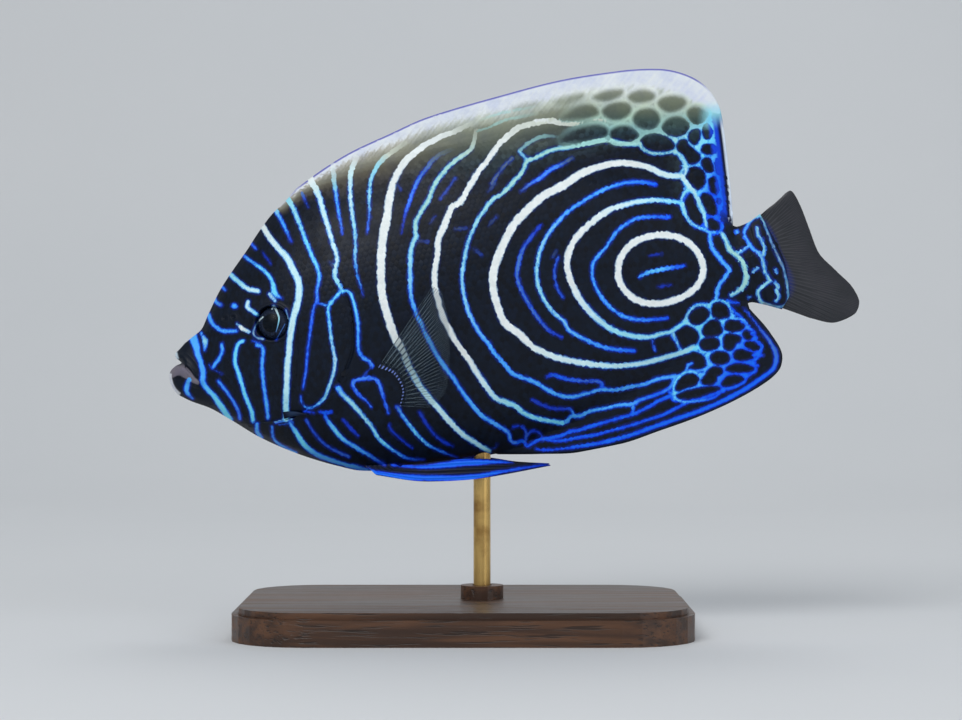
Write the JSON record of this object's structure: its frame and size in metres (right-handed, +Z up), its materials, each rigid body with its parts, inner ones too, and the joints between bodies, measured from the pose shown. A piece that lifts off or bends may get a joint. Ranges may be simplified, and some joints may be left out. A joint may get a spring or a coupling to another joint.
{
  "type": "emperor angelfish model",
  "caption": "Juvenile emperor angelfish at life size, nose tilted down and fins spread, held over a flat base by one short rod.",
  "frame": {"origin": "centre of the model's box at the height of the surface it stands on", "axes": "+X from the fish's mouth towards its tail, +Z up, +Y towards the fish's right"},
  "size_m": [0.1302, 0.062, 0.1053],
  "materials": {
    "skin": "near-black wet skin with white, cyan and blue lines",
    "lips": "dark and pale grey lips",
    "fin_blue": "dark fin with blue net and lines, satin",
    "fin_grey": "translucent dark grey web with fine rays",
    "fin_clear": "nearly clear web with pale rays",
    "eye": "wet and glossy, with a thin pale ring",
    "base_wood": "dark stained, satin",
    "rod_brass": "satin"
  },
  "bodies": {
    "root": {"head": "skin", "gill_cover_left": "skin", "gill_cover_right": "skin", "trunk": "skin", "tail_stem": "skin", "upper_jaw": "lips", "lower_jaw": "lips", "dorsal_fin": "fin_blue", "anal_fin": "fin_blue", "tail_fin": "fin_grey", "pectoral_fin_left": "fin_clear", "pectoral_fin_right": "fin_clear", "pelvic_fin_left": "fin_blue", "pelvic_fin_right": "fin_blue", "eye_left": "eye", "eye_right": "eye", "stand_base": "base_wood", "stand_rod": "rod_brass"}
  },
  "joints": []
}
